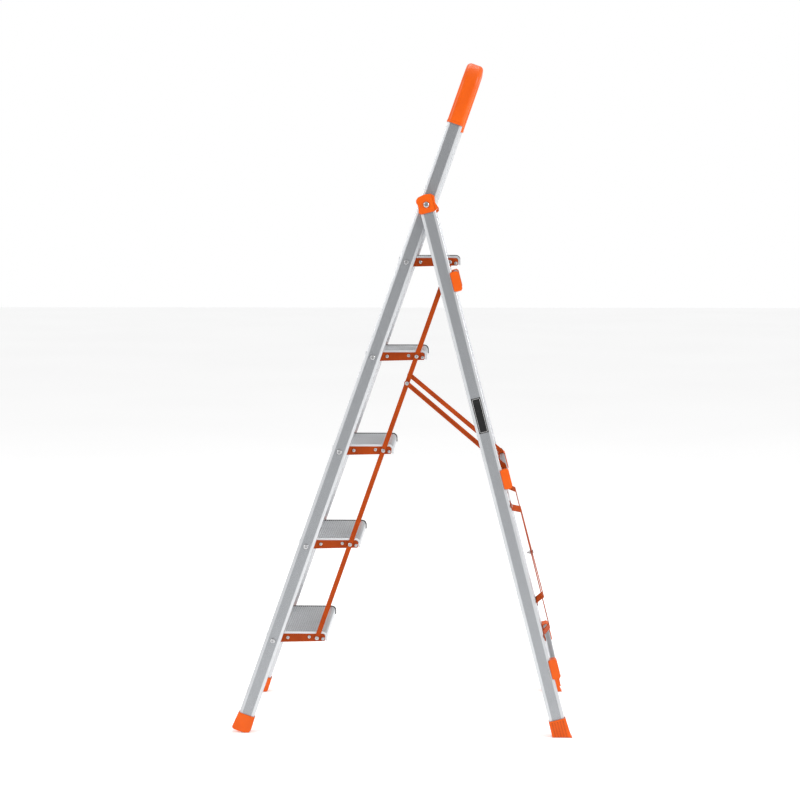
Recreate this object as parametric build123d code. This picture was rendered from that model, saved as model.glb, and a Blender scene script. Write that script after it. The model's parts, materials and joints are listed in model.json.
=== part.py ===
from build123d import *
import math
import os

# Folding five-tread step ladder. Millimetres, +Z up, +X to the climber's right, climber on the -Y side.
# The origin is on the floor, under the middle of the open ladder.
# A leg coordinate s runs down a rail's centre line from the hinge; n runs rearward, square to it.

# Stance
HINGE_Y = 60.7
HINGE_Z = 1338.0
FRONT_LEAN = 19.4
REAR_LEAN = 14.4
TAPER = 0.0564
STRETCH = math.hypot(1, TAPER)

# Rails
RAIL_DEPTH = 39.0
RAIL_THICK = 22.0
RAIL_WALL = 1.6
RAIL_CORNER = 2.0
LEAST_CORNER = 0.6
BEVEL_REACH = 6.5
BEVEL_DROP = 2.0
GROOVES = 10
GROOVE_PITCH = 2.3
GROOVE_WIDTH = 1.0
GROOVE_DEPTH = 0.5
FRONT_HALF_WIDTH = 155.0
HINGE_GAP = 4.0
REAR_HALF_WIDTH = FRONT_HALF_WIDTH + HINGE_GAP + RAIL_THICK
FRONT_RAIL_TOP = -240.0
FRONT_RAIL_END = 1400.0
REAR_RAIL_TOP = -19.0
REAR_RAIL_END = 1366.0

# Feet
FOOT_WALL = 3.0
FRONT_FOOT_OUTER_WALL = 2.2
REAR_FOOT_INNER_WALL = 1.2
FOOT_TOP_GAP = 44.0
FOOT_RIBS = 5
FOOT_RIB_PITCH = 7.0
FOOT_RIB_DEPTH = 0.9

# Handle
GRIP_DEPTH = 43.0
GRIP_THICK = 28.0
GRIP_CORNER = 11.0
GRIP_END = -215.0
HANDLE_TOP = -363.0
HANDLE_BEND = 46.0
CORE_CLEARANCE = 0.1
CORE_WALL = 2.0
CORE_END = -190.0
GRIP_RIM = 5.0
GRIP_RIM_RISE = 0.7

# Hinge
HINGE_PIN = 10.0
HINGE_HEAD = 15.0
HINGE_WASHER = 26.0
HINGE_NUT_GAP = 0.7
HINGE_NUT_HEIGHT = 8.0
HINGE_BOLT_END = 10.5
CAP_WALL = 3.0
CAP_BEVEL = 1.2

# Treads
TREADS = 5
TREAD_PITCH = 240.0
FIRST_BOLT_Z = 234.0
SIDE_GAP = 22.0
LINK_ARM = 110.0
BRACKET = 2.5
PLATE_TOP = 13.5
PLATE_THICK = 3.0
PLATE_FRONT = -18.0
PLATE_BACK = 134.5
PLATE_DROP = 21.5
PLATE_SKIRT = 13.0
NOSE_FRONT = 6.0
NOSE_BACK = 10.0
RIB_PITCH = 5.6
RIB_WIDTH = 2.4
RIB_HEIGHT = 1.1
FLANGE_RISE = 2.3
FLANGE_THICK = 1.2
SEAL_THICK = 1.2
SCREW_SPOTS = ((35.0, 0.0), (90.0, 2.0), (125.0, -3.0))
SCREW = 4.0
BOSS = 9.0

# Fasteners
RUNNING = 0.1
THROUGH = 400.0
SOCKET_SHARE = 0.22
SOCKET_DEPTH = 0.55
BOLT = 8.0
BOLT_HEAD = 13.0
BUSH = 11.0
NUT_HEIGHT = 6.5
RIVET = 6.0
RIVET_HEAD = 10.0
RIVET_RISE = 1.8
SHOULDER = 3.8
SCREW_HEAD = 8.5

# Link bars and braces
BAR_WIDTH = 12.0
BAR_THICK = 3.0
BAR_GAP = 4.0
BAR_END = 8.0
BRACE_BELOW = 72.0
BRACE_GAP = 2.8
BRACE_END = 7.5
BRACE_FOOT_S = 686.0
BRACE_FOOT_N = 26.0
BRACE_RISE = 17.8
BRACE_GROOVE = 4.0
BRACE_GROOVE_DEPTH = 0.8
BRACE_RIVET_RISE = 1.5
LUG_THICK = 3.0

# Rear bracing
CROSS_S = (205.0, 717.0, 1211.0)
CROSS_N = 27.4
CROSS_HEIGHT = 46.0
CROSS_DEPTH = 13.0
CROSS_WALL = 1.5
SOCKET_HEIGHT = 50.0
SOCKET_BACK = 36.5
SOCKET_LIP = 2.4
SOCKET_INNER = 12.0
STRIP_TOP_S = 785.0
STRIP_LOW_S = 1124.0
STRIP_N = 39.5
STRIP_THICK = 2.5
STRIP_WIDTH = 18.0
STRIP_TAB = 20.0
STRIP_RIVET = 5.0
LABEL_S = 546.0
LABEL_LENGTH = 90.0
LABEL_WIDTH = 24.0


def unit_down(lean, way):
    angle = math.radians(lean)
    return Vector(0, way * math.sin(angle), -math.cos(angle))


def unit_back(lean, way):
    angle = math.radians(lean)
    return Vector(0, math.cos(angle), way * math.sin(angle))


X_WAY = Vector(1, 0, 0)
HINGE = Vector(0, HINGE_Y, HINGE_Z)
FRONT = (unit_down(FRONT_LEAN, -1), unit_back(FRONT_LEAN, -1))
REAR = (unit_down(REAR_LEAN, 1), unit_back(REAR_LEAN, 1))


def spot(leg, s, n=0.0, x=0.0):
    """A point of a leg frame in space."""
    down, back = leg
    return HINGE + down * s + back * n + Vector(x, 0, 0)


def rail_plane(leg, half_width, s=0.0):
    """Right-hand rail's own plane: local x rearward, local y across the rail, local z down it."""
    down, back = leg
    along = Vector(TAPER, down.Y, down.Z)
    centre = half_width - RAIL_THICK / 2 + TAPER * s
    return Plane(origin=spot(leg, s, x=centre), x_dir=back, z_dir=along)


def rod(x_from, x_to, y, z, diameter):
    start = min(x_from, x_to)
    plane = Plane(origin=(start, y, z), x_dir=(0, 1, 0), z_dir=(1, 0, 0))
    return extrude(plane * Circle(diameter / 2), abs(x_to - x_from))


def dome(x_from, rise, y, z, diameter):
    """A low rounded head, with a hex recess, that stands outward from x_from."""
    head = rod(x_from, x_from + rise, y, z, diameter)
    rim = head.edges().filter_by(GeomType.CIRCLE).sort_by(Axis.X)[-1]
    head = fillet(rim, rise * 0.85)
    plane = Plane(origin=(x_from + rise * (1 - SOCKET_DEPTH), y, z), x_dir=(0, 1, 0), z_dir=(1, 0, 0))
    return head - extrude(plane * RegularPolygon(diameter * SOCKET_SHARE, 6), rise)


def hex_nut(x_from, height, y, z, across, bore):
    plane = Plane(origin=(x_from, y, z), x_dir=(0, 1, 0), z_dir=(1, 0, 0))
    outline = RegularPolygon(across / 2, 6, major_radius=False) - Circle(bore / 2)
    return extrude(plane * outline, height)


def prism(face, direction, length):
    return extrude(face, length, dir=direction)


def both_sides(shape):
    return [shape, mirror(shape, about=Plane.YZ)]


def save(name, *shapes):
    solids = [solid for shape in shapes for solid in shape.solids()]
    part = solids[0] if len(solids) == 1 else Compound(children=solids)
    export_step(part, f"parts/{name}.step")


# Rails -------------------------------------------------------------------------------------------

def rail_outline(shrink=0.0):
    """Wide flats with bevels down to the narrow faces, all corners rounded."""
    depth, thick = RAIL_DEPTH / 2 - shrink, RAIL_THICK / 2 - shrink
    flat, edge = depth - BEVEL_REACH, thick - BEVEL_DROP
    points = [(depth, -edge), (depth, edge), (flat, thick), (-flat, thick), (-depth, edge), (-depth, -edge),
              (-flat, -thick), (flat, -thick)]
    outline = Polygon(*points, align=None)
    return fillet(outline.vertices(), max(RAIL_CORNER - shrink, LEAST_CORNER))


def rail_section():
    section = rail_outline() - rail_outline(RAIL_WALL)
    for index in range(GROOVES):
        x = (index - (GROOVES - 1) / 2) * GROOVE_PITCH
        for y in (-RAIL_THICK / 2, RAIL_THICK / 2):
            section -= Pos(x, y) * Rectangle(GROOVE_WIDTH, 2 * GROOVE_DEPTH)
    return section


def rail_length(leg, half_width, section, s_from, s_to):
    return extrude(rail_plane(leg, half_width, s_from) * section, (s_to - s_from) * STRETCH)


def rail_envelope(leg, half_width, s_from, s_to):
    return rail_length(leg, half_width, rail_outline(), s_from, s_to)


def bolt_heights():
    return [FIRST_BOLT_Z + TREAD_PITCH * index for index in range(TREADS)]


def bolt_s(z):
    return (HINGE_Z - z) / math.cos(math.radians(FRONT_LEAN))


def front_rail():
    rail = rail_length(FRONT, FRONT_HALF_WIDTH, rail_section(), FRONT_RAIL_TOP, FRONT_RAIL_END)
    for z in bolt_heights():
        at = spot(FRONT, bolt_s(z))
        rail -= rod(0, THROUGH, at.Y, at.Z, BOLT + RUNNING)
    return rail - rod(0, THROUGH, HINGE_Y, HINGE_Z, HINGE_PIN + RUNNING)


def rear_rail():
    rail = rail_length(REAR, REAR_HALF_WIDTH, rail_section(), REAR_RAIL_TOP, REAR_RAIL_END)
    return rail - rod(0, THROUGH, HINGE_Y, HINGE_Z, HINGE_PIN + RUNNING)


# Feet --------------------------------------------------------------------------------------------

def leg_block(leg, half_width, outline, inner, outer):
    """A prism whose outline is given as (n, s) points, from inner to outer across the right rail."""
    plane = rail_plane(leg, half_width)
    outward = plane.y_dir
    face = Polygon(*[(n, s * STRETCH) for n, s in outline], align=None)
    side_view = Plane(origin=plane.origin + outward * inner, x_dir=plane.x_dir, z_dir=outward * -1)
    return prism(side_view * face, outward, outer - inner)


def above_floor(shape):
    return shape & Pos(0, 0, 1000) * Box(1200, 1600, 2000)


def front_foot():
    half = RAIL_THICK / 2
    top = FRONT_RAIL_END + 15 - FOOT_TOP_GAP
    low = FRONT_RAIL_END + 16
    outline = [(-21.5, top), (22.0, top), (23.0, low - 12), (19.0, low - 2), (14.0, low), (-19.0, low),
               (-24.5, low - 3), (-25.0, low - 8)]
    foot = leg_block(FRONT, FRONT_HALF_WIDTH, outline, -half - FOOT_WALL, half + FRONT_FOOT_OUTER_WALL)
    return above_floor(foot - rail_envelope(FRONT, FRONT_HALF_WIDTH, top - 5, FRONT_RAIL_END))


def rear_foot():
    half = RAIL_THICK / 2
    outer = half + FOOT_WALL
    top = REAR_RAIL_END + 15 - FOOT_TOP_GAP
    low = REAR_RAIL_END + 24
    outline = [(-21.5, top), (22.0, top), (24.5, low - 8), (27.0, low), (-22.0, low)]
    foot = leg_block(REAR, REAR_HALF_WIDTH, outline, -half - REAR_FOOT_INNER_WALL, outer)
    for index in range(FOOT_RIBS):
        n = (index - (FOOT_RIBS - 1) / 2) * FOOT_RIB_PITCH
        groove = [(n - 1.2, top + 4), (n + 1.2, top + 4), (n + 1.2, low), (n - 1.2, low)]
        foot -= leg_block(REAR, REAR_HALF_WIDTH, groove, outer - FOOT_RIB_DEPTH, outer + 1)
    return above_floor(foot - rail_envelope(REAR, REAR_HALF_WIDTH, top - 5, REAR_RAIL_END))


# Handle ------------------------------------------------------------------------------------------

def handle_path(end):
    """U-shaped centre line in the plane of the front rails, from one leg to the other."""
    plane = Plane(origin=HINGE, x_dir=(1, 0, 0), z_dir=FRONT[1])
    centre = FRONT_HALF_WIDTH - RAIL_THICK / 2
    low = centre + TAPER * end
    high = centre + TAPER * HANDLE_TOP
    points = [(-low, end), (-high, HANDLE_TOP), (high, HANDLE_TOP), (low, end)]
    return plane * FilletPolyline(*points, radius=HANDLE_BEND)


def handle_sweep(section, end):
    path = handle_path(end)
    start = Plane(origin=path @ 0, x_dir=FRONT[1], z_dir=path % 0)
    return sweep(start * section, path=path)


def core_outline(shrink=0.0):
    return rail_outline(RAIL_WALL + CORE_CLEARANCE + shrink)


def handle_core():
    return handle_sweep(core_outline() - core_outline(CORE_WALL), CORE_END)


def handle_grip():
    grip = handle_sweep(RectangleRounded(GRIP_DEPTH, GRIP_THICK, GRIP_CORNER), GRIP_END)
    swell = 2 * GRIP_RIM_RISE
    rim = RectangleRounded(GRIP_DEPTH + swell, GRIP_THICK + swell, GRIP_CORNER + GRIP_RIM_RISE)
    for end in both_sides(rail_length(FRONT, FRONT_HALF_WIDTH, rim, GRIP_END - GRIP_RIM, GRIP_END)):
        grip += end
    grip -= handle_sweep(core_outline(), CORE_END)
    for rail in both_sides(rail_envelope(FRONT, FRONT_HALF_WIDTH, FRONT_RAIL_TOP, GRIP_END + 20)):
        grip -= rail
    return grip


# Hinge -------------------------------------------------------------------------------------------

def rear_hinge_cap():
    half = RAIL_THICK / 2
    outline = [(-22.5, -16), (-16, -22), (2, -25.5), (18, -23), (25, -16), (23.2, -4), (23.2, 2), (26, 9),
               (24.5, 17), (14, 21.5), (-18, 21.5), (-23.5, 15), (-21.2, 5), (-21.2, -3), (-23.5, -10)]
    cap = leg_block(REAR, REAR_HALF_WIDTH, outline, -half, half + CAP_WALL)
    bevel = [(18, -30), (30, -30), (30, 30), (18, 30)]
    cap -= leg_block(REAR, REAR_HALF_WIDTH, bevel, half + CAP_WALL - CAP_BEVEL, half + CAP_WALL + 1)
    cap -= rail_envelope(REAR, REAR_HALF_WIDTH, REAR_RAIL_TOP, 40)
    return cap - rod(0, THROUGH, HINGE_Y, HINGE_Z, HINGE_PIN + RUNNING)


def hinge_head_x():
    return REAR_HALF_WIDTH + CAP_WALL + 0.5


def hinge_bolt():
    inner = FRONT_HALF_WIDTH - RAIL_THICK - HINGE_BOLT_END
    bolt = rod(inner, hinge_head_x() + 0.1, HINGE_Y, HINGE_Z, HINGE_PIN)
    return bolt + dome(hinge_head_x(), 3.5, HINGE_Y, HINGE_Z, HINGE_HEAD)


def hinge_nut():
    inner = FRONT_HALF_WIDTH - RAIL_THICK - HINGE_NUT_GAP
    return hex_nut(inner - HINGE_NUT_HEIGHT, HINGE_NUT_HEIGHT, HINGE_Y, HINGE_Z, 17, HINGE_PIN)


def hinge_washer():
    ring = rod(FRONT_HALF_WIDTH + 0.8, FRONT_HALF_WIDTH + 3.1, HINGE_Y, HINGE_Z, HINGE_WASHER)
    return ring - rod(0, THROUGH, HINGE_Y, HINGE_Z, HINGE_PIN + RUNNING)


# Tread hardware on the front frame ---------------------------------------------------------------

def rail_inner_x(s):
    return FRONT_HALF_WIDTH + TAPER * s - RAIL_THICK


def tread_half_width(z):
    return rail_inner_x(bolt_s(z)) - SIDE_GAP


def tread_bolt(z):
    at = spot(FRONT, bolt_s(z))
    head_x = rail_inner_x(bolt_s(z)) + RAIL_THICK + 0.4
    shank = rod(tread_half_width(z) - BRACKET - NUT_HEIGHT - 2, head_x, at.Y, at.Z, BOLT)
    return shank + dome(head_x, 2.4, at.Y, at.Z, BOLT_HEAD)


def tread_bush(z):
    at = spot(FRONT, bolt_s(z))
    slope = TAPER * BUSH / 2 + 0.05
    bush = rod(tread_half_width(z) + 0.4, rail_inner_x(bolt_s(z)) - slope, at.Y, at.Z, BUSH)
    return bush - rod(0, THROUGH, at.Y, at.Z, BOLT + RUNNING)


def tread_nut(z):
    at = spot(FRONT, bolt_s(z))
    inner = tread_half_width(z) - BRACKET - 0.3
    return hex_nut(inner - NUT_HEIGHT, NUT_HEIGHT, at.Y, at.Z, 13, BOLT)


# Treads ------------------------------------------------------------------------------------------

def tread_plane(z, x):
    """Side view of a tread: local x rearward from the bolt, local y up, pointing along +X."""
    at = spot(FRONT, bolt_s(z))
    return Plane(origin=(x, at.Y, at.Z), x_dir=(0, 1, 0), z_dir=(1, 0, 0))


def plate_section(grow=0.0):
    """Bent sheet: a short skirt in front, a flat top and a rounded lip behind."""
    front, back, top = PLATE_FRONT - grow, PLATE_BACK + grow, PLATE_TOP + grow
    skirt, lip = PLATE_TOP - PLATE_SKIRT, PLATE_TOP - PLATE_DROP
    front_nose, back_nose = NOSE_FRONT + grow, NOSE_BACK + grow
    inner, hollow = PLATE_BACK - PLATE_THICK, NOSE_BACK - PLATE_THICK
    outline = Polyline((front + front_nose, top), (back - back_nose, top))
    outline += JernArc((back - back_nose, top), (1, 0), back_nose, -90)
    outline += Polyline((back, top - back_nose), (back, lip), (inner, lip), (inner, PLATE_TOP - NOSE_BACK))
    outline += JernArc((inner, PLATE_TOP - NOSE_BACK), (0, 1), hollow, 90)
    outline += Polyline((inner - hollow, PLATE_TOP - PLATE_THICK),
                        (PLATE_FRONT + PLATE_THICK, PLATE_TOP - PLATE_THICK),
                        (PLATE_FRONT + PLATE_THICK, skirt), (front, skirt), (front, top - front_nose))
    outline += JernArc((front, top - front_nose), (0, 1), front_nose, -90)
    return make_face(outline.edges())


def ribbed_section():
    section = plate_section()
    count = int((PLATE_BACK - 24 - (PLATE_FRONT + 12)) / RIB_PITCH)
    for index in range(count + 1):
        a = PLATE_FRONT + 12 + index * RIB_PITCH
        section += Pos(a, PLATE_TOP + RIB_HEIGHT / 2 - 0.1) * Rectangle(RIB_WIDTH, RIB_HEIGHT + 0.2)
    for a, h in SCREW_SPOTS:
        web_top = PLATE_TOP - PLATE_THICK + 0.5
        section += Pos(a, (h + web_top) / 2) * Rectangle(3, web_top - h)
        section += Pos(a, h) * Circle(BOSS / 2)
    for a, h in SCREW_SPOTS:
        section -= Pos(a, h) * Circle((SCREW + RUNNING) / 2)
    return section


def tread_plate(z):
    half = tread_half_width(z)
    body_half = half - BRACKET
    plate = extrude(tread_plane(z, -body_half) * ribbed_section(), 2 * body_half)
    cover = extrude(tread_plane(z, body_half) * plate_section(), BRACKET)
    flange = extrude(tread_plane(z, half - FLANGE_THICK) * plate_section(FLANGE_RISE), FLANGE_THICK)
    for side in both_sides(cover) + both_sides(flange):
        plate += side
    return plate


def edge_seal(z):
    """Dark strip along the inner face of an end flange, over the top and down the lip."""
    inner = tread_half_width(z) - BRACKET + 0.03
    strip = extrude(tread_plane(z, inner) * plate_section(FLANGE_RISE - 0.1), SEAL_THICK)
    return strip - extrude(tread_plane(z, inner - 1) * plate_section(), SEAL_THICK + 2)


def tread_bracket(z):
    """Right-hand side plate, bored for its bolt, its screws and the link bar's rivet."""
    half = tread_half_width(z)
    under = PLATE_TOP - PLATE_THICK
    points = [(-14, -12.5), (-14, 7), (-11, under), (124, under), (128.5, 8), (131, 3), (131, -5),
              (128.5, -9)]
    outline = Polygon(*points, align=None)
    side = prism(tread_plane(z, half - BRACKET) * outline, X_WAY, BRACKET)
    at = spot(FRONT, bolt_s(z))
    side -= rod(half - 10, half + 10, at.Y, at.Z, BOLT + RUNNING)
    side -= rod(half - 10, half + 10, at.Y + LINK_ARM, at.Z, RIVET + RUNNING)
    for a, h in SCREW_SPOTS:
        side -= rod(half - 10, half + 10, at.Y + a, at.Z + h, SCREW + RUNNING)
    return side


def tread_screws(z):
    half = tread_half_width(z)
    at = spot(FRONT, bolt_s(z))
    screws = []
    for a, h in SCREW_SPOTS:
        shank = rod(half - BRACKET - 14, half, at.Y + a, at.Z + h, SCREW)
        screws.append(shank + dome(half, RIVET_RISE, at.Y + a, at.Z + h, SCREW_HEAD))
    return screws


def pivot_rivet(z):
    """Shouldered rivet that carries a link bar beside the bracket."""
    half = tread_half_width(z)
    at = spot(FRONT, bolt_s(z))
    y, z_pin = at.Y + LINK_ARM, at.Z
    outer = half + BAR_GAP + BAR_THICK + 0.4
    rivet = rod(half - BRACKET - 1.5, half - BRACKET, y, z_pin, RIVET_HEAD)
    rivet += rod(half - BRACKET - 0.1, outer, y, z_pin, RIVET)
    rivet += rod(half, half + SHOULDER - 0.3, y, z_pin, RIVET_HEAD)
    return rivet + dome(outer, RIVET_RISE, y, z_pin, RIVET_HEAD)


# Link bars and braces ----------------------------------------------------------------------------

def slanted_strip(start, end, width, thick, overrun):
    """Flat bar between two points that differ in x by the taper; round ends, its face close to the side."""
    along = (end - start).normalized()
    flat = Vector(1, 0, 0) - along * along.X
    plane = Plane(origin=start, x_dir=along, z_dir=flat.normalized())
    length = (end - start).length
    outline = SlotCenterToCenter(length + 2 * (overrun - width / 2), width)
    return extrude(plane * Pos(length / 2, 0) * outline, thick)


def link_pivot(z):
    at = spot(FRONT, bolt_s(z))
    return Vector(tread_half_width(z) + BAR_GAP, at.Y + LINK_ARM, at.Z)


def link_bar():
    heights = bolt_heights()
    bar = slanted_strip(link_pivot(heights[-1]), link_pivot(heights[0]), BAR_WIDTH, BAR_THICK, BAR_END)
    for z in heights:
        pivot = link_pivot(z)
        bar -= rod(0, THROUGH, pivot.Y, pivot.Z, RIVET + RUNNING)
    return bar


def brace_head():
    """Where a brace meets its link bar."""
    down = FRONT[0]
    upper = link_pivot(bolt_heights()[-2])
    shift = Vector(TAPER, down.Y, down.Z) * BRACE_BELOW
    return upper + shift + Vector(BAR_THICK + BRACE_GAP, 0, 0)


def brace_foot():
    at = spot(REAR, BRACE_FOOT_S, BRACE_FOOT_N)
    return Vector(brace_head().X + BRACE_RISE, at.Y, at.Z)


def brace():
    head, foot = brace_head(), brace_foot()
    bar = slanted_strip(head, foot, BAR_WIDTH, BAR_THICK, BRACE_END)
    floor = Vector(BAR_THICK - BRACE_GROOVE_DEPTH, 0, 0)
    bar -= slanted_strip(head + floor, foot + floor, BRACE_GROOVE, BAR_THICK, -BAR_WIDTH)
    bar -= rod(0, THROUGH, head.Y, head.Z, RIVET + RUNNING)
    return bar - rod(0, THROUGH, foot.Y, foot.Z, RIVET + RUNNING)


def brace_rivet():
    """Shouldered rivet at a brace's head; it stops just short of the link bar."""
    head = brace_head()
    inner = head.X - BRACE_GAP + 0.6
    outer = head.X + BAR_THICK + 0.2
    rivet = rod(inner, head.X - 0.4, head.Y, head.Z, RIVET_HEAD)
    rivet += rod(inner, outer + 0.2, head.Y, head.Z, RIVET)
    return rivet + dome(outer, BRACE_RIVET_RISE, head.Y, head.Z, RIVET_HEAD)


def brace_lug():
    """Upright ear on the middle cross tube, outboard of the brace, with the brace's lower pin."""
    foot = brace_foot()
    down, back = REAR
    inner = foot.X + BAR_THICK + 0.8
    plane = Plane(origin=(inner, foot.Y, foot.Z), x_dir=back, z_dir=(1, 0, 0))
    drop = CROSS_S[1] - BRACE_FOOT_S
    way = 1 if plane.y_dir.dot(down) > 0 else -1
    outline = Circle(7.0) + Pos(CROSS_N - BRACE_FOOT_N, way * drop / 2) * Rectangle(12.0, drop)
    lug = prism(plane * outline, X_WAY, LUG_THICK)
    pin = rod(foot.X - 0.8, inner + 0.2, foot.Y, foot.Z, RIVET)
    pin += mirror(dome(0.6 - foot.X, RIVET_RISE, foot.Y, foot.Z, RIVET_HEAD), about=Plane.YZ)
    return lug + pin - cross_envelope(CROSS_S[1])


# Rear bracing ------------------------------------------------------------------------------------

def cross_plane(s, x):
    return Plane(origin=spot(REAR, s, CROSS_N, x), x_dir=REAR[1], z_dir=(1, 0, 0))


def cross_end(s):
    return REAR_HALF_WIDTH + TAPER * (s - CROSS_HEIGHT / 2) - 1.5


def cross_outline(shrink=0.0):
    depth = CROSS_DEPTH - 2 * shrink
    return RectangleRounded(depth, CROSS_HEIGHT - 2 * shrink, depth / 2 - 0.4)


def cross_envelope(s):
    end = cross_end(s)
    return extrude(cross_plane(s, -end) * cross_outline(), 2 * end)


def cross_tube(s):
    end = cross_end(s)
    section = cross_outline() - cross_outline(CROSS_WALL)
    return extrude(cross_plane(s, -end) * section, 2 * end)


def socket(s, tail=False):
    """Moulded end holder: behind the rail, with a lip over the rail's outer face."""
    half = RAIL_THICK / 2
    front, reach = RAIL_DEPTH / 2, SOCKET_HEIGHT / 2
    outline = [(front, s - reach), (SOCKET_BACK - 4, s - reach), (SOCKET_BACK, s - reach + 5),
               (SOCKET_BACK, s + reach - 5), (SOCKET_BACK - 4, s + reach), (front, s + reach)]
    body = leg_block(REAR, REAR_HALF_WIDTH, outline, -half - SOCKET_INNER, half + SOCKET_LIP)
    lip = [(front - 4.5, s - reach + 2), (front + 1, s - reach), (front + 1, s + reach),
           (front - 4.5, s + reach - 2)]
    body += leg_block(REAR, REAR_HALF_WIDTH, lip, half - BEVEL_DROP, half + SOCKET_LIP)
    if tail:
        tab = [(front + 6, s + reach - 1), (front + 12, s + reach - 1), (front + 11, s + reach + 20),
               (front + 5, s + reach + 20)]
        body += leg_block(REAR, REAR_HALF_WIDTH, tab, half - 8, half - 2)
    body -= rail_envelope(REAR, REAR_HALF_WIDTH, s - reach - 5, s + reach + 5)
    return body - cross_envelope(s)


def sockets():
    return [socket(CROSS_S[0]), socket(CROSS_S[1]), socket(CROSS_S[2], tail=True)]


def ribbon(points, thick):
    """Face of a bent strip along a plain polyline, with mitred corners."""
    spots = [Vector(*point) for point in points]
    left, right = [], []
    for index, here in enumerate(spots):
        before = spots[max(index - 1, 0)]
        after = spots[min(index + 1, len(spots) - 1)]
        first = (here - before).normalized() if index else (after - here).normalized()
        last = (after - here).normalized() if index < len(spots) - 1 else first
        middle = (first + last).normalized()
        normal = Vector(-middle.Y, middle.X, 0)
        reach = thick / 2 / normal.dot(Vector(-first.Y, first.X, 0))
        left.append(here + normal * reach)
        right.append(here - normal * reach)
    outline = [(corner.X, corner.Y) for corner in left + right[::-1]]
    return Polygon(*outline, align=None)


def strip_ends():
    """Upper left and lower right ends of one diagonal, on the rails' centre lines."""
    high_x = REAR_HALF_WIDTH + TAPER * STRIP_TOP_S - RAIL_THICK / 2
    low_x = REAR_HALF_WIDTH + TAPER * STRIP_LOW_S - RAIL_THICK / 2
    return spot(REAR, STRIP_TOP_S, x=-high_x), spot(REAR, STRIP_LOW_S, x=low_x)


def strip_crossing():
    high, low = strip_ends()
    return high + (low - high) * (-high.X / (low.X - high.X))


def x_strip(layer):
    """One flat strip from the left rail, high, to the right rail, low, with bent ends."""
    back = REAR[1]
    face = RAIL_DEPTH / 2 + STRIP_THICK / 2
    level = STRIP_N + layer * (STRIP_THICK + 0.3)
    high, low = strip_ends()
    along = (low - high).normalized()
    length = (low - high).length
    side = back.cross(along)
    plane = Plane(origin=high - side * (STRIP_WIDTH / 2), x_dir=along, z_dir=side)
    way = 1 if plane.y_dir.dot(back) > 0 else -1
    rise = level - face
    tab = STRIP_TAB / 2
    path = [(-tab, face), (tab, face), (tab + rise, level), (length - tab - rise, level),
            (length - tab, face), (length + tab, face)]
    strip = prism(plane * ribbon([(x, way * y) for x, y in path], STRIP_THICK), side, STRIP_WIDTH)
    for centre in (high, low, strip_crossing()):
        strip -= extrude(Plane(origin=centre, z_dir=back) * Circle((STRIP_RIVET + RUNNING) / 2), 80)
    return strip


def strip_rivet(centre):
    """Round head on a strip's end, its shank down to the rail."""
    back = REAR[1]
    seat = RAIL_DEPTH / 2 + STRIP_THICK
    root = Plane(origin=centre + back * (RAIL_DEPTH / 2), z_dir=back)
    shank = extrude(root * Circle(STRIP_RIVET / 2), STRIP_THICK + 1)
    return shank + extrude(Plane(origin=centre + back * (seat + 0.05), z_dir=back) * Circle(STRIP_RIVET), 1.8)


def strip_bolt():
    """Bolt through the crossing of the strips, its tail toward the front."""
    back = REAR[1]
    centre = strip_crossing()
    tail = STRIP_N - STRIP_THICK / 2 - 9
    head = STRIP_N + STRIP_THICK * 1.5 + 0.35
    shank = Circle(STRIP_RIVET / 2)
    bolt = extrude(Plane(origin=centre + back * tail, z_dir=back) * shank, head - tail + 1)
    bolt += extrude(Plane(origin=centre + back * head, z_dir=back) * Circle(STRIP_RIVET), 2.5)
    nut = Plane(origin=centre + back * (tail + 5), z_dir=back) * RegularPolygon(STRIP_RIVET, 6)
    return bolt + extrude(nut, 3.8)


def strip_fasteners():
    high, low = strip_ends()
    rivets = [rivet for centre in (high, low) for rivet in both_sides(strip_rivet(centre))]
    return rivets + [strip_bolt()]


def label_plate():
    """Plain blank label on the outer face of the right rear rail."""
    half = RAIL_THICK / 2
    side = LABEL_WIDTH / 2
    low, high = LABEL_S - LABEL_LENGTH / 2, LABEL_S + LABEL_LENGTH / 2
    outline = [(-side, low), (side, low), (side, high), (-side, high)]
    return leg_block(REAR, REAR_HALF_WIDTH, outline, half, half + 0.8)


# Output ------------------------------------------------------------------------------------------

def save_pair(name, shape):
    right, left = both_sides(shape)
    save(f"{name}_right", right)
    save(f"{name}_left", left)


def paired(shapes):
    return [copy for shape in shapes for copy in both_sides(shape)]


def write_front_frame():
    save_pair("front_rail", front_rail())
    save_pair("front_foot", front_foot())
    save("handle_core", handle_core())
    save("handle_grip", handle_grip())
    save("hinge_washers", *both_sides(hinge_washer()))
    save("hinge_bolts", *both_sides(hinge_bolt()))
    save("hinge_nuts", *both_sides(hinge_nut()))
    save("tread_bolts", *paired([tread_bolt(z) for z in bolt_heights()]))
    save("tread_bushes", *paired([tread_bush(z) for z in bolt_heights()]))
    save("tread_nuts", *paired([tread_nut(z) for z in bolt_heights()]))


def write_rear_frame():
    save_pair("rear_rail", rear_rail())
    save_pair("rear_foot", rear_foot())
    save_pair("rear_hinge_cap", rear_hinge_cap())
    for name, s in zip(("top", "middle", "bottom"), CROSS_S):
        save(f"cross_tube_{name}", cross_tube(s))
    right = sockets()
    save("cross_sockets_right", *right)
    save("cross_sockets_left", *[mirror(shape, about=Plane.YZ) for shape in right])
    save("brace_strip_inner", x_strip(0))
    save("brace_strip_outer", mirror(x_strip(1), about=Plane.YZ))
    save("strip_fasteners", *strip_fasteners())
    save("brace_lugs", *both_sides(brace_lug()))
    save("label_plate", label_plate())


def write_treads():
    for index, z in enumerate(bolt_heights(), start=1):
        name = f"tread_{index}"
        save(f"{name}_plate", tread_plate(z))
        save(f"{name}_edge_seals", *both_sides(edge_seal(z)))
        save_pair(f"{name}_bracket", tread_bracket(z))
        save(f"{name}_fasteners", *paired(tread_screws(z) + [pivot_rivet(z)]))


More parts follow.
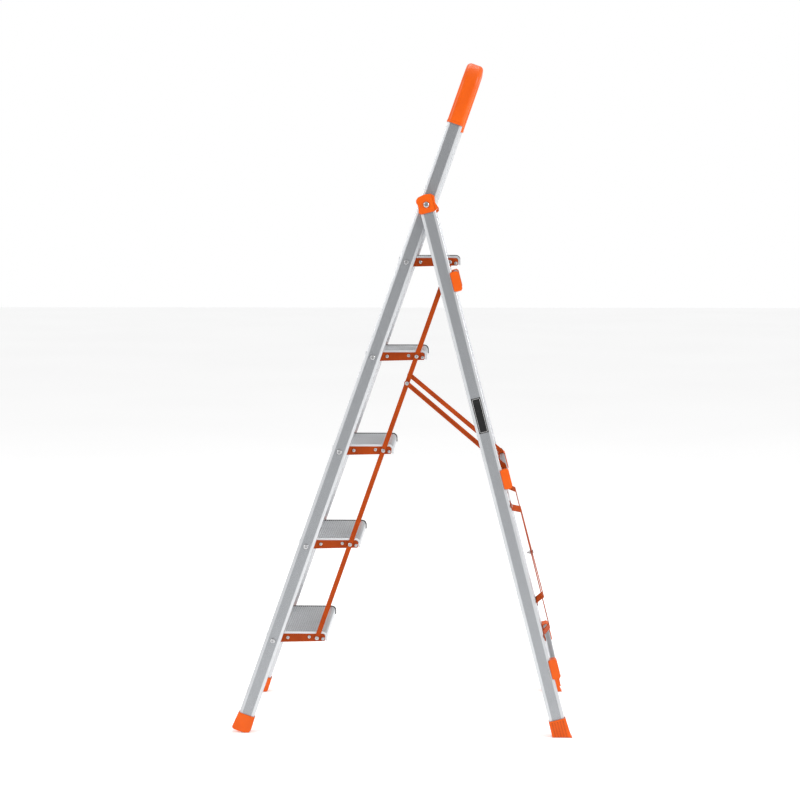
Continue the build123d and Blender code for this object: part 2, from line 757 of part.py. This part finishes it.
def write_linkage():
    save_pair("link_bar", link_bar())
    save_pair("brace_bar", brace())
    save_pair("brace_rivet", brace_rivet())


write_front_frame()
write_rear_frame()
write_treads()
write_linkage()
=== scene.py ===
"""Looks of a folding five-tread step ladder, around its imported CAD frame.

Metres, +Z up, the climber on -Y.
"""
import json
import math

import bmesh
import bpy
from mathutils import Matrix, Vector

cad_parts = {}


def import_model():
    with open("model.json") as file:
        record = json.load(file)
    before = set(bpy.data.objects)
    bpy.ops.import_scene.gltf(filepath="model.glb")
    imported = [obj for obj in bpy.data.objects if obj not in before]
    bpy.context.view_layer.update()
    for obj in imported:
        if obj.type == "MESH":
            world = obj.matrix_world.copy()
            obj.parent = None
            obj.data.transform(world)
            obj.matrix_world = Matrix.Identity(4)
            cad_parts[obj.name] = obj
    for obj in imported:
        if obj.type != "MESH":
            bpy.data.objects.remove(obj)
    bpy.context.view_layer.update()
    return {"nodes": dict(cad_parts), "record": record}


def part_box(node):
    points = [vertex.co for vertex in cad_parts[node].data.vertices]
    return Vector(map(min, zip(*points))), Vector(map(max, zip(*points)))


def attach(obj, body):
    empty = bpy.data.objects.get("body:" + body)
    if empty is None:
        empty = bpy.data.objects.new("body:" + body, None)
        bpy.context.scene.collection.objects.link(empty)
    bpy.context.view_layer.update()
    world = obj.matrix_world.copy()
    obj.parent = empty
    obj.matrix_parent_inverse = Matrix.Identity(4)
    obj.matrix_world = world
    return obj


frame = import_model()
NODES = frame["nodes"]
SLOT_OF = {part["node"]: part["material_slot"] for part in frame["record"]["subparts"]}

FRONT_LEAN = math.radians(19.4)
REAR_LEAN = math.radians(14.4)
HINGE_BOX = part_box("hinge_bolts")
HINGE = (HINGE_BOX[0] + HINGE_BOX[1]) / 2

# The rails' section, in metres across the rail
RIB_PITCH = 0.0023
RIB_BAND = 0.0118
NARROW_FACE = 0.0193
EDGE_BLUR = 0.0004

# How far the shade in a recess reaches, in metres, and how finely it is sampled
CREVICE_REACH = 0.0035
CREVICE_SAMPLES = 4

# The border on the blank label, in metres
LABEL_MARGIN = 0.0018
LABEL_LINE = 0.0011
LABEL_RISE = 0.0002
LABEL_CORNER = 0.003
CORNER_STEPS = 4

# sRGB colours, pale before deep where there are two
# Painted shade for recesses: the default, then one each for metal, plastic and paint
RECESS_PAINTED_SHADE = (60, 56, 54)
METAL_SHADE = (118, 118, 120)
PLASTIC_SHADE = (120, 34, 0)
PAINT_SHADE = (84, 26, 6)
# Painted shade in a rail's ribbed band and on its narrow front and rear faces
RIB_GROOVE_PAINTED_SHADE = (174, 177, 181)
RAIL_SIDE_PAINTED_SHADE = (168, 170, 174)
HANDLED_METAL = (176, 178, 180)
MARKED_METAL = (165, 165, 166)
SCUFFED_PLASTIC = (248, 128, 66)
PAINT_SPECK = (120, 45, 20)
DUST = (140, 135, 130)
RAIL_METAL = ((226, 228, 230), (206, 208, 211))
TREAD_METAL = ((232, 234, 236), (214, 216, 219))
TUBE_METAL = ((208, 208, 208), (186, 186, 186))
ZINC = ((214, 214, 212), (176, 178, 184))
PLASTIC = ((238, 98, 2), (224, 87, 0))
PAINT = ((182, 70, 2), (162, 58, 0))
RUBBER = ((34, 18, 15), (22, 13, 12))
NYLON = ((226, 224, 216), (212, 210, 202))
LABEL_FILM = ((26, 26, 27), (18, 18, 19))
LABEL_BORDER = ((196, 196, 196), (176, 176, 176))
FLOOR_PAPER = ((250, 250, 250), (247, 247, 247))

# The studio
WHITE = (1.0, 1.0, 1.0)
FLOOR_HALF = 30.0
FLOOR_GLOW = 0.26
WALL_WHITE = 0.82
WALL_GREY = 0.42
WALL_TURN = (0.35, 0.95)
LIGHT_AIM = Vector((0.0, 0.0, 0.8))
LIGHTS = (
    # name, place, disk diameter in metres, watts
    ("key_light", (2.6, -3.8, 3.4), 1.8, 80.0),
    ("rear_light", (1.6, 4.2, 2.6), 1.6, 95.0),
    ("top_light", (-1.6, 0.0, 4.4), 2.6, 40.0),
)
CAMERA_PLACE = Vector((5.056, 0.146, 1.2546))
CAMERA_YAW = math.radians(1.777)
CAMERA_PITCH = math.radians(4.786)
CAMERA_LENS = 87.0
CAMERA_SENSOR = 36.0
CAMERA_REACH = 100.0


def linear(red, green, blue):
    """An sRGB colour, 0 to 255, as the linear colour a shader takes."""
    def one(value):
        value /= 255
        return value / 12.92 if value <= 0.04045 else ((value + 0.055) / 1.055) ** 2.4
    return (one(red), one(green), one(blue), 1.0)


# Materials ----------------------------------------------------------------------------------------

class Finish:
    """A procedural material, built up from noises in the object's own coordinates."""

    def __init__(self, name, roughness, metallic=0.0, coat=0.0, coat_roughness=0.3, specular=0.5):
        self.material = bpy.data.materials.new(name)
        self.material.use_nodes = True
        self.tree = self.material.node_tree
        self.shader = self.tree.nodes["Principled BSDF"]
        for socket, value in (("Roughness", roughness), ("Metallic", metallic),
                              ("Coat Weight", coat), ("Coat Roughness", coat_roughness),
                              ("Specular IOR Level", specular)):
            self.shader.inputs[socket].default_value = value
        self.place = self.tree.nodes.new("ShaderNodeTexCoord").outputs["Object"]
        self.height = None

    def link(self, output, target):
        self.tree.links.new(output, target)

    def stretched(self, scale, tilt=0.0):
        mapping = self.tree.nodes.new("ShaderNodeMapping")
        mapping.inputs["Rotation"].default_value = (tilt, 0.0, 0.0)
        mapping.inputs["Scale"].default_value = scale
        self.link(self.place, mapping.inputs["Vector"])
        return mapping.outputs["Vector"]

    def noise(self, scale, detail=3.0, rough=0.5, stretch=None, tilt=0.0):
        node = self.tree.nodes.new("ShaderNodeTexNoise")
        node.inputs["Scale"].default_value = scale
        node.inputs["Detail"].default_value = detail
        node.inputs["Roughness"].default_value = rough
        place = self.stretched(stretch, tilt) if stretch else self.place
        self.link(place, node.inputs["Vector"])
        return node.outputs["Fac"]

    def spread(self, value, low, high, start=0.3, end=0.7):
        node = self.tree.nodes.new("ShaderNodeMapRange")
        node.inputs["From Min"].default_value = start
        node.inputs["From Max"].default_value = end
        node.inputs["To Min"].default_value = low
        node.inputs["To Max"].default_value = high
        self.link(value, node.inputs["Value"])
        return node.outputs["Result"]

    def maths(self, operation, first, second=None):
        node = self.tree.nodes.new("ShaderNodeMath")
        node.operation = operation
        for value, socket in zip((first, second), node.inputs):
            if isinstance(value, (int, float)):
                socket.default_value = value
            elif value is not None:
                self.link(value, socket)
        return node.outputs["Value"]

    def across(self, lean, origin):
        """Distance rearward from a leaning rail's centre line."""
        node = self.tree.nodes.new("ShaderNodeVectorMath")
        node.operation = "DOT_PRODUCT"
        back = Vector((0.0, math.cos(lean), math.sin(lean)))
        node.inputs[1].default_value = back
        self.link(self.place, node.inputs[0])
        return self.maths("SUBTRACT", node.outputs["Value"], back.dot(origin))

    def mixed(self, factor, first, second):
        node = self.tree.nodes.new("ShaderNodeMix")
        node.data_type = "RGBA"
        self.link(factor, node.inputs["Factor"])
        for value, name in ((first, "A"), (second, "B")):
            socket = [s for s in node.inputs if s.name == name and s.type == "RGBA"][0]
            if isinstance(value, tuple):
                socket.default_value = value
            else:
                self.link(value, socket)
        return [s for s in node.outputs if s.type == "RGBA"][0]

    def colour(self, output, recess_shade=RECESS_PAINTED_SHADE):
        """Takes the base colour, and darkens narrow recesses and joints with painted shade from an
        ambient occlusion node.
        """
        hollow = self.tree.nodes.new("ShaderNodeAmbientOcclusion")
        hollow.samples = CREVICE_SAMPLES
        hollow.inputs["Distance"].default_value = CREVICE_REACH
        depth = self.spread(hollow.outputs["AO"], 0.85, 0.0, 0.3, 0.85)
        shaded = self.mixed(depth, output, linear(*recess_shade))
        self.link(shaded, self.shader.inputs["Base Color"])

    def roughness(self, output):
        self.link(output, self.shader.inputs["Roughness"])

    def bump(self, output, strength, distance):
        node = self.tree.nodes.new("ShaderNodeBump")
        node.inputs["Strength"].default_value = strength
        node.inputs["Distance"].default_value = distance
        self.link(output, node.inputs["Height"])
        if self.height is not None:
            self.link(self.height, node.inputs["Normal"])
        self.height = node.outputs["Normal"]
        self.link(self.height, self.shader.inputs["Normal"])


def rib_painted_shade(finish, lean, base):
    """Paints shade into a rail's grooves and onto its front and rear faces, and leaves the bevels
    bright.
    """
    rearward = finish.across(lean, HINGE)
    distance = finish.maths("ABSOLUTE", rearward)
    inside = finish.spread(distance, 1.0, 0.0, RIB_BAND, RIB_BAND + EDGE_BLUR)
    wave = finish.maths("SINE", finish.maths("MULTIPLY", rearward, 2 * math.pi / RIB_PITCH))
    depth = finish.spread(finish.maths("ABSOLUTE", wave), 0.3, 1.0, 0.15, 0.75)
    ribbed = finish.mixed(finish.maths("MULTIPLY", inside, depth), base,
                          linear(*RIB_GROOVE_PAINTED_SHADE))
    narrow = finish.spread(distance, 0.0, 0.8, NARROW_FACE - EDGE_BLUR, NARROW_FACE)
    return finish.mixed(narrow, ribbed, linear(*RAIL_SIDE_PAINTED_SHADE))


def anodised(name, tilt, along, pale, deep):
    """Satin aluminium with drawing lines along the extrusion and faint handling marks."""
    finish = Finish(name, roughness=0.4, metallic=0.82)
    stretch = (1.0, 1.0, 0.012) if along == "z" else (0.012, 1.0, 1.0)
    lines = finish.noise(2600.0, 2.0, stretch=stretch, tilt=tilt)
    broad = finish.noise(9.0, 4.0, 0.6)
    marks = finish.noise(70.0, 4.0, 0.6)
    base = finish.mixed(finish.spread(lines, 0.0, 1.0), linear(*pale), linear(*deep))
    handled = finish.mixed(finish.spread(broad, 0.0, 0.22, 0.45, 0.75), base,
                           linear(*HANDLED_METAL))
    tone = finish.mixed(finish.spread(marks, 0.0, 0.15, 0.6, 0.8), handled, linear(*MARKED_METAL))
    # The rails get painted shade in their ribbed band and on their narrow faces
    if name.endswith("rail_aluminium"):
        tone = rib_painted_shade(finish, tilt, tone)
    finish.colour(tone, METAL_SHADE)
    finish.roughness(finish.spread(lines, 0.33, 0.46))
    finish.bump(lines, 0.18, 0.0002)
    return finish.material


def moulded(name, pale, deep, roughness, grain):
    """Injection-moulded plastic: slightly uneven colour, fine spark-eroded grain, soft gloss."""
    finish = Finish(name, roughness=roughness, coat=0.06, coat_roughness=0.3, specular=0.28)
    broad = finish.noise(14.0, 3.0, 0.5)
    fine = finish.noise(grain, 2.0, 0.5)
    scuffs = finish.noise(95.0, 6.0, 0.72, stretch=(1.0, 1.0, 0.35))
    base = finish.mixed(finish.spread(broad, 0.0, 1.0), linear(*pale), linear(*deep))
    scuffed = finish.mixed(finish.spread(scuffs, 0.0, 0.22, 0.64, 0.8), base,
                           linear(*SCUFFED_PLASTIC))
    finish.colour(scuffed, PLASTIC_SHADE)
    finish.roughness(finish.spread(fine, roughness - 0.06, roughness + 0.08))
    finish.bump(fine, 0.12, 0.0003)
    finish.bump(broad, 0.05, 0.002)
    return finish.material


def powder_coat(name, pale, deep):
    """Baked powder paint on steel: orange-peel surface, uneven colour, faint specks."""
    finish = Finish(name, roughness=0.42, coat=0.02, coat_roughness=0.35, specular=0.18)
    peel = finish.noise(520.0, 2.0, 0.45)
    broad = finish.noise(22.0, 3.0, 0.55)
    specks = finish.noise(900.0, 1.0, 0.5)
    base = finish.mixed(finish.spread(broad, 0.0, 1.0), linear(*pale), linear(*deep))
    specked = finish.mixed(finish.spread(specks, 0.0, 0.3, 0.68, 0.78), base, linear(*PAINT_SPECK))
    finish.colour(specked, PAINT_SHADE)
    finish.roughness(finish.spread(peel, 0.36, 0.5))
    finish.bump(peel, 0.22, 0.0004)
    return finish.material


def zinc(name, pale, deep):
    """Zinc-plated steel, turned, with a cloudy sheen."""
    finish = Finish(name, roughness=0.28, metallic=1.0)
    turned = finish.noise(1500.0, 2.0, stretch=(0.1, 1.0, 1.0))
    cloud = finish.noise(240.0, 3.0, 0.6)
    finish.colour(finish.mixed(finish.spread(cloud, 0.0, 1.0), linear(*pale), linear(*deep)))
    finish.roughness(finish.spread(turned, 0.2, 0.38))
    finish.bump(turned, 0.1, 0.0001)
    return finish.material


def plain_grain(name, pale, deep, roughness, grain, strength):
    """Matt surface with fine grain and a little dust."""
    finish = Finish(name, roughness=roughness, specular=0.35)
    fine = finish.noise(grain, 3.0, 0.6)
    dust = finish.noise(40.0, 5.0, 0.7)
    base = finish.mixed(finish.spread(fine, 0.0, 1.0), linear(*pale), linear(*deep))
    finish.colour(finish.mixed(finish.spread(dust, 0.0, 0.12, 0.55, 0.8), base, linear(*DUST)))
    finish.roughness(finish.spread(fine, roughness - 0.08, roughness + 0.08))
    finish.bump(fine, strength, 0.0003)
    return finish.material


MATERIALS = {
    "front_rail": anodised("front_rail_aluminium", -FRONT_LEAN, "z", *RAIL_METAL),
    "rear_rail": anodised("rear_rail_aluminium", REAR_LEAN, "z", *RAIL_METAL),
    "tread": anodised("tread_aluminium", 0.0, "x", *TREAD_METAL),
    "inner_tube": anodised("inner_tube_aluminium", -FRONT_LEAN, "z", *TUBE_METAL),
    "orange_plastic": moulded("orange_plastic", *PLASTIC, 0.38, 1500.0),
    "orange_paint": powder_coat("orange_powder_coat", *PAINT),
    "steel": zinc("zinc_plated_steel", *ZINC),
    "dark_rubber": plain_grain("dark_rubber", *RUBBER, 0.65, 1100.0, 0.2),
    "nylon": plain_grain("natural_nylon", *NYLON, 0.5, 900.0, 0.1),
    "label": plain_grain("label_film", *LABEL_FILM, 0.34, 700.0, 0.05),
    "label_line": plain_grain("label_border", *LABEL_BORDER, 0.4, 700.0, 0.05),
}


def material_key(node):
    if SLOT_OF[node] != "aluminium":
        return SLOT_OF[node]
    if node.startswith("front"):
        return "front_rail"
    return "tread" if node.startswith("tread") else "rear_rail"


for name, node in NODES.items():
    node.data.materials.clear()
    node.data.materials.append(MATERIALS[material_key(name)])


# Pieces -------------------------------------------------------------------------------------------

def label_frame():
    """Thin raised border on the blank label, with rounded corners."""
    node = NODES["label_plate"].data
    corners = [vertex.co for vertex in node.vertices]
    facing_out = [polygon for polygon in node.polygons if polygon.normal.x > 0.9]
    outward = max(facing_out, key=lambda polygon: polygon.area).normal.copy()
    down = Vector((0.0, math.sin(REAR_LEAN), -math.cos(REAR_LEAN)))
    down = (down - outward * down.dot(outward)).normalized()
    back = down.cross(outward)
    middle = sum(corners, Vector()) / len(corners)
    length = max((corner - middle).dot(down) for corner in corners) - LABEL_MARGIN
    width = max((corner - middle).dot(back) for corner in corners) - LABEL_MARGIN
    surface = max((corner - middle).dot(outward) for corner in corners)
    rows = []
    for inset, rise in ((0.0, 0.0), (0.0, LABEL_RISE), (LABEL_LINE, LABEL_RISE),
                        (LABEL_LINE, 0.0)):
        row = []
        for quarter in range(4):
            diagonal = math.radians(90 * quarter + 45)
            across = math.copysign(width - LABEL_CORNER, math.cos(diagonal))
            along = math.copysign(length - LABEL_CORNER, math.sin(diagonal))
            reach = LABEL_CORNER - inset
            for step in range(CORNER_STEPS + 1):
                angle = math.radians(90 * quarter + 90 / CORNER_STEPS * step)
                row.append(middle + back * (across + reach * math.cos(angle))
                           + down * (along + reach * math.sin(angle))
                           + outward * (surface + rise))
        rows.append(row)
    count = len(rows[0])
    faces = []
    for here in range(len(rows)):
        there = (here + 1) % len(rows)
        for i in range(count):
            following = (i + 1) % count
            faces.append((here * count + i, here * count + following,
                          there * count + following, there * count + i))
    mesh = bpy.data.meshes.new("label_border")
    mesh.from_pydata([point for row in rows for point in row], [], faces)
    repair = bmesh.new()
    repair.from_mesh(mesh)
    bmesh.ops.recalc_face_normals(repair, faces=repair.faces)
    repair.to_mesh(mesh)
    repair.free()
    mesh.materials.append(MATERIALS["label_line"])
    border = bpy.data.objects.new("label_border", mesh)
    bpy.context.scene.collection.objects.link(border)
    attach(border, "rear_frame")


label_frame()


# Studio -------------------------------------------------------------------------------------------

def floor():
    """White paper under the feet, glowing a little so that it meets the white background."""
    mesh = bpy.data.meshes.new("studio_floor")
    corners = [(x * FLOOR_HALF, y * FLOOR_HALF, 0.0)
               for x, y in ((-1, -1), (1, -1), (1, 1), (-1, 1))]
    mesh.from_pydata(corners, [], [(0, 1, 2, 3)])
    plane = bpy.data.objects.new("studio_floor", mesh)
    bpy.context.scene.collection.objects.link(plane)
    finish = Finish("studio_floor", roughness=0.9, specular=0.1)
    tone = finish.noise(0.6, 2.0)
    pale, deep = FLOOR_PAPER
    # colour() also lays painted shade from ambient occlusion on the floor around the feet
    finish.colour(finish.mixed(finish.spread(tone, 0.0, 1.0), linear(*pale), linear(*deep)))
    finish.shader.inputs["Emission Color"].default_value = (*WHITE, 1.0)
    finish.shader.inputs["Emission Strength"].default_value = FLOOR_GLOW
    mesh.materials.append(finish.material)


def soft_light(name, place, size, power):
    """A round lamp that points at the middle of the ladder."""
    data = bpy.data.lights.new(name, "AREA")
    data.shape = "DISK"
    data.size = size
    data.energy = power
    data.color = WHITE
    light = bpy.data.objects.new(name, data)
    bpy.context.scene.collection.objects.link(light)
    light.location = place
    light.rotation_euler = (LIGHT_AIM - Vector(place)).to_track_quat("-Z", "Y").to_euler()


def world():
    """Pale studio walls around the ladder, grey ones to its left and right, seen as white."""
    scene_world = bpy.data.worlds.new("studio")
    scene_world.use_nodes = True
    nodes, links = scene_world.node_tree.nodes, scene_world.node_tree.links
    split = nodes.new("ShaderNodeSeparateXYZ")
    links.new(nodes.new("ShaderNodeTexCoord").outputs["Generated"], split.inputs["Vector"])
    sideways = nodes.new("ShaderNodeMath")
    sideways.operation = "ABSOLUTE"
    links.new(split.outputs["X"], sideways.inputs[0])
    grey = nodes.new("ShaderNodeMapRange")
    grey.interpolation_type = "SMOOTHSTEP"
    for socket, value in (("From Min", WALL_TURN[0]), ("From Max", WALL_TURN[1]),
                          ("To Min", WALL_WHITE), ("To Max", WALL_GREY)):
        grey.inputs[socket].default_value = value
    links.new(sideways.outputs["Value"], grey.inputs["Value"])
    seen = nodes.new("ShaderNodeMix")
    links.new(nodes.new("ShaderNodeLightPath").outputs["Is Camera Ray"], seen.inputs["Factor"])
    links.new(grey.outputs["Result"], seen.inputs["A"])
    seen.inputs["B"].default_value = 1.0
    links.new(seen.outputs["Result"], nodes["Background"].inputs["Strength"])
    nodes["Background"].inputs["Color"].default_value = (*WHITE, 1.0)
    bpy.context.scene.world = scene_world
    bpy.context.scene.view_settings.view_transform = "Standard"


def camera():
    """Stands off to the right of the ladder and looks slightly down at it."""
    data = bpy.data.cameras.new("camera")
    data.lens = CAMERA_LENS
    data.sensor_width = CAMERA_SENSOR
    data.clip_end = CAMERA_REACH
    eye = bpy.data.objects.new("camera", data)
    bpy.context.scene.collection.objects.link(eye)
    level = math.cos(CAMERA_PITCH)
    gaze = Vector((-math.cos(CAMERA_YAW) * level, -math.sin(CAMERA_YAW) * level,
                   -math.sin(CAMERA_PITCH)))
    eye.location = CAMERA_PLACE
    eye.rotation_euler = gaze.to_track_quat("-Z", "Y").to_euler()
    bpy.context.scene.camera = eye


floor()
world()
for row in LIGHTS:
    soft_light(*row)
camera()
